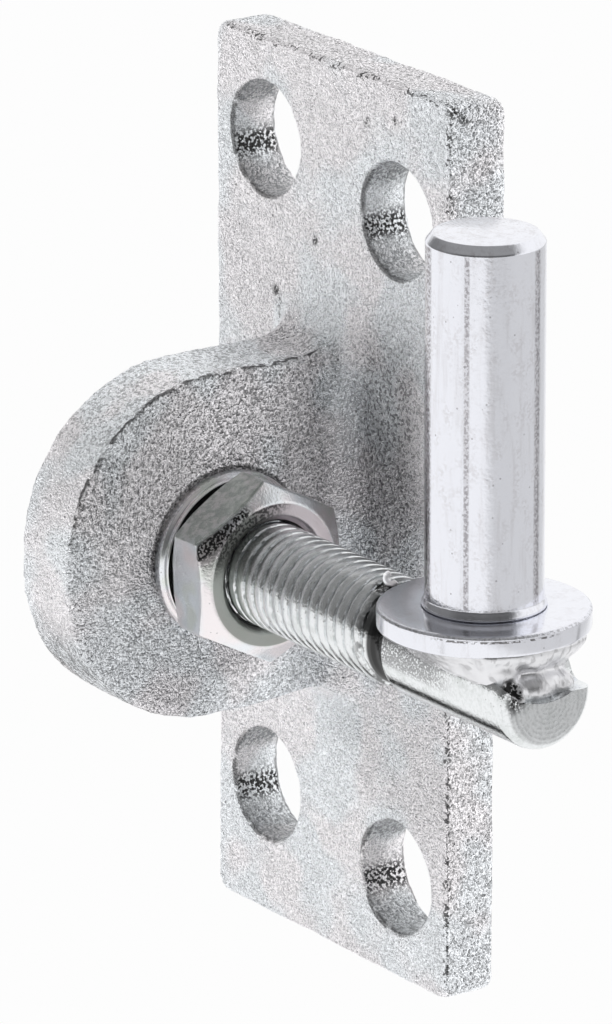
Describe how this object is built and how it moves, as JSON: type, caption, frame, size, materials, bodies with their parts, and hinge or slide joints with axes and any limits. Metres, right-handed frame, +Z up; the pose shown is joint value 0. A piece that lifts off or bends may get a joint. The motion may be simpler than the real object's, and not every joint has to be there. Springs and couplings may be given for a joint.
{
  "type": "adjustable plate gate hinge",
  "caption": "Wall plate with a side lug, a threaded cross shank set by nuts, and an upright pin with a collar for a hinge eye.",
  "frame": {"origin": "middle of the back face of the wall plate", "axes": "+Z up along the pin, +Y out of the back of the plate into the wall, +X along the shank towards the pin"},
  "size_m": [0.0887, 0.0437, 0.105],
  "materials": {
    "cast_zinc_coat": "rough hot-dip zinc",
    "washer_zinc": "satin zinc",
    "nut_zinc": "bright zinc",
    "shank_zinc": "bright zinc",
    "pin_zinc": "glossy zinc",
    "collar_zinc": "glossy zinc",
    "weld_zinc": "smooth zinc over weld"
  },
  "bodies": {
    "bracket": {"bracket": "cast_zinc_coat", "near_washer": "washer_zinc", "far_washer": "washer_zinc"},
    "near_nut": {"near_nut": "nut_zinc"},
    "far_nut": {"far_nut": "nut_zinc"},
    "shank": {"threaded_shank": "shank_zinc", "hinge_pin": "pin_zinc", "support_collar": "collar_zinc", "weld_bead": "weld_zinc"}
  },
  "joints": [
    {"name": "shank_slide", "type": "slide", "parent": "bracket", "child": "shank", "axis": [1, 0, 0], "range_m": [-0.01837, 0.007]},
    {"name": "near_nut_spin", "type": "hinge", "parent": "bracket", "child": "near_nut", "pos_m": [0.0087, -0.0226, -0.0017], "axis": [1, 0, 0], "range_deg": [-1441, 3781]},
    {"name": "far_nut_spin", "type": "hinge", "parent": "bracket", "child": "far_nut", "pos_m": [-0.0128, -0.0226, -0.0017], "axis": [1, 0, 0], "range_deg": [-1441, 3781]}
  ],
  "couplings": [
    {"joint": "near_nut_spin", "follows": "shank_slide", "rad_per_m": -3590.4},
    {"joint": "far_nut_spin", "follows": "shank_slide", "rad_per_m": -3590.4}
  ]
}
